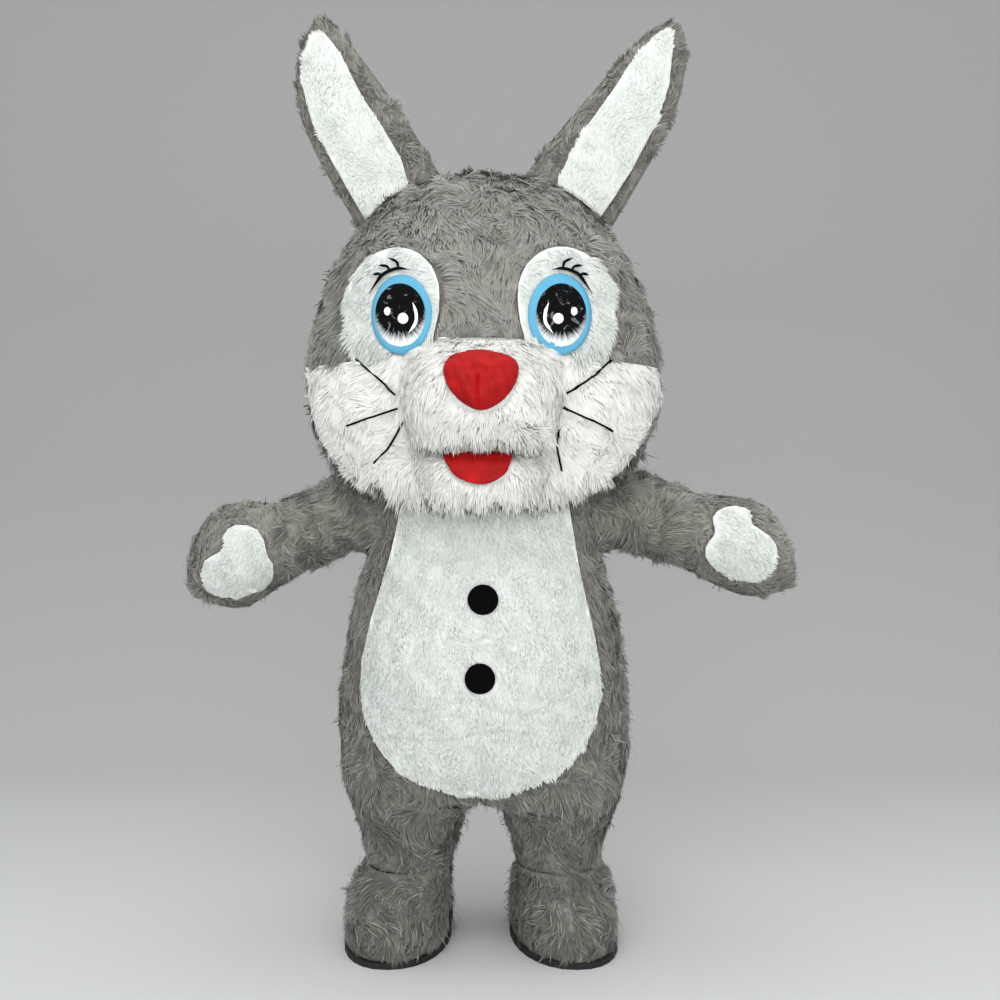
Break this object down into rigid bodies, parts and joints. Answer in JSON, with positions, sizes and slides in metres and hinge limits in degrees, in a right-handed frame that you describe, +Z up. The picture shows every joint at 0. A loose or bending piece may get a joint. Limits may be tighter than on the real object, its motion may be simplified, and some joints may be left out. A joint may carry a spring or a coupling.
{
  "type": "rabbit mascot costume",
  "caption": "Hollow plush rabbit mascot costume, grey with white face and belly, red nose and mouth, blue eyes, mittens and soled shoes, standing with its arms held out.",
  "frame": {"origin": "on the floor under the middle of the costume's overall width and depth", "axes": "+Z up; the face and belly look along -Y; +X is the viewer's right"},
  "size_m": [1.725, 1.0004, 2.6],
  "materials": {
    "grey_plush": "long-pile grey fur plush",
    "white_plush": "white fur plush",
    "blue_felt": "short-pile blue felt",
    "black_felt": "black felt",
    "red_satin": "red satin",
    "black_rubber": "matte black rubber"
  },
  "bodies": {
    "root": {"back_l": "grey_plush", "back_r": "grey_plush", "belly": "white_plush", "button_low": "black_felt", "button_top": "black_felt", "cheek_l": "white_plush", "cheek_r": "white_plush", "chin": "white_plush", "crown_back": "grey_plush", "ear_back_l": "grey_plush", "ear_back_r": "grey_plush", "ear_front_l": "grey_plush", "ear_front_r": "grey_plush", "ear_lining_l": "white_plush", "ear_lining_r": "white_plush", "eye_l": "blue_felt", "eye_patch_l": "white_plush", "eye_patch_r": "white_plush", "eye_r": "blue_felt", "forehead": "grey_plush", "front_l": "grey_plush", "front_r": "grey_plush", "head_side_l": "grey_plush", "head_side_r": "grey_plush", "mitten_back_l": "grey_plush", "mitten_back_r": "grey_plush", "mitten_palm_l": "grey_plush", "mitten_palm_r": "grey_plush", "mouth": "red_satin", "muzzle": "white_plush", "nape_l": "grey_plush", "nape_r": "grey_plush", "nose": "red_satin", "paw_pad_l": "white_plush", "paw_pad_r": "white_plush", "pupil_l": "black_felt", "pupil_r": "black_felt", "shoe_l": "grey_plush", "shoe_r": "grey_plush", "sleeve_l": "grey_plush", "sleeve_r": "grey_plush", "sole_l": "black_rubber", "sole_r": "black_rubber"}
  },
  "joints": []
}
